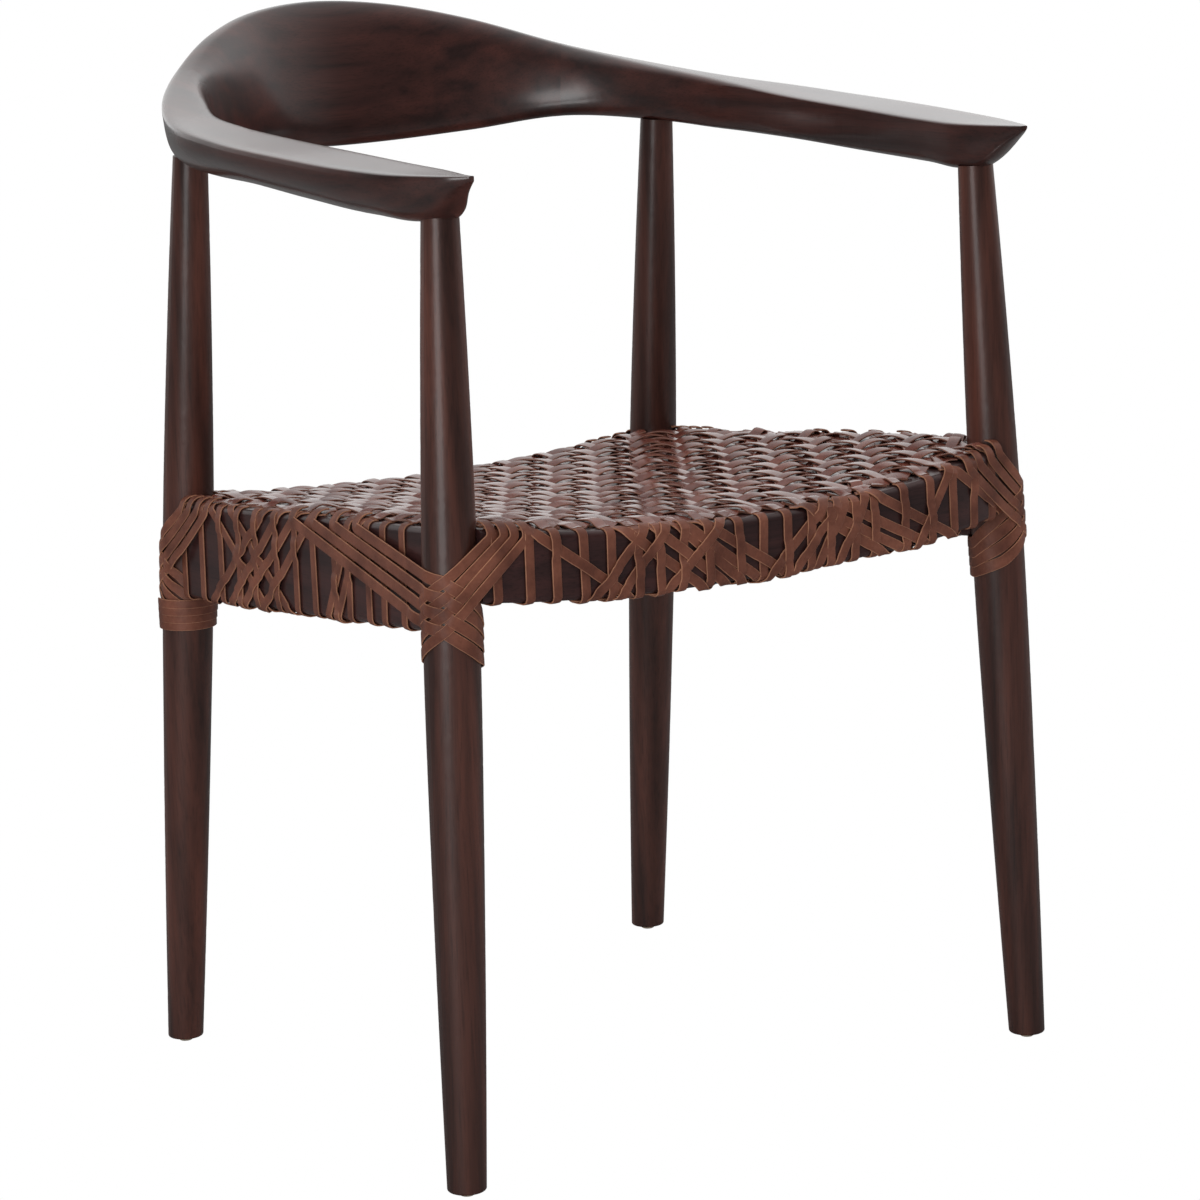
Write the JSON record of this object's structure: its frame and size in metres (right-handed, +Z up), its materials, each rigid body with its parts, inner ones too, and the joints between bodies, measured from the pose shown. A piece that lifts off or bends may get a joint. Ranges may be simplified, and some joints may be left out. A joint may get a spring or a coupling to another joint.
{
  "type": "woven leather seat armchair",
  "caption": "Wooden armchair with a curved top rail that turns from a tall back into flat arms, four turned legs and a hollow seat of woven leather strips.",
  "frame": {"origin": "on the floor under the middle of the chair's box", "axes": "+Z up, the chair faces -Y, +X is to the left of someone sitting in it"},
  "size_m": [0.5598, 0.562, 0.77],
  "materials": {
    "top_rail_wood": "satin",
    "leg_wood": "satin",
    "rail_wood": "satin",
    "dowel_wood": "matte",
    "seat_leather": "satin",
    "strip_leather": "satin",
    "glide_plastic": "matte"
  },
  "bodies": {
    "root": {"crest_rail": "top_rail_wood", "left_arm": "top_rail_wood", "right_arm": "top_rail_wood", "left_front_leg": "leg_wood", "right_front_leg": "leg_wood", "left_rear_leg": "leg_wood", "right_rear_leg": "leg_wood", "front_rail": "rail_wood", "rear_rail": "rail_wood", "left_side_rail": "rail_wood", "right_side_rail": "rail_wood", "left_crest_dowels": "dowel_wood", "right_crest_dowels": "dowel_wood", "seat_weave": "seat_leather", "front_rail_strips": "strip_leather", "rear_rail_strips": "strip_leather", "left_side_rail_strips": "strip_leather", "right_side_rail_strips": "strip_leather", "left_front_corner_lashing": "strip_leather", "right_front_corner_lashing": "strip_leather", "left_rear_corner_lashing": "strip_leather", "right_rear_corner_lashing": "strip_leather", "left_front_glide": "glide_plastic", "right_front_glide": "glide_plastic", "left_rear_glide": "glide_plastic", "right_rear_glide": "glide_plastic"}
  },
  "joints": []
}
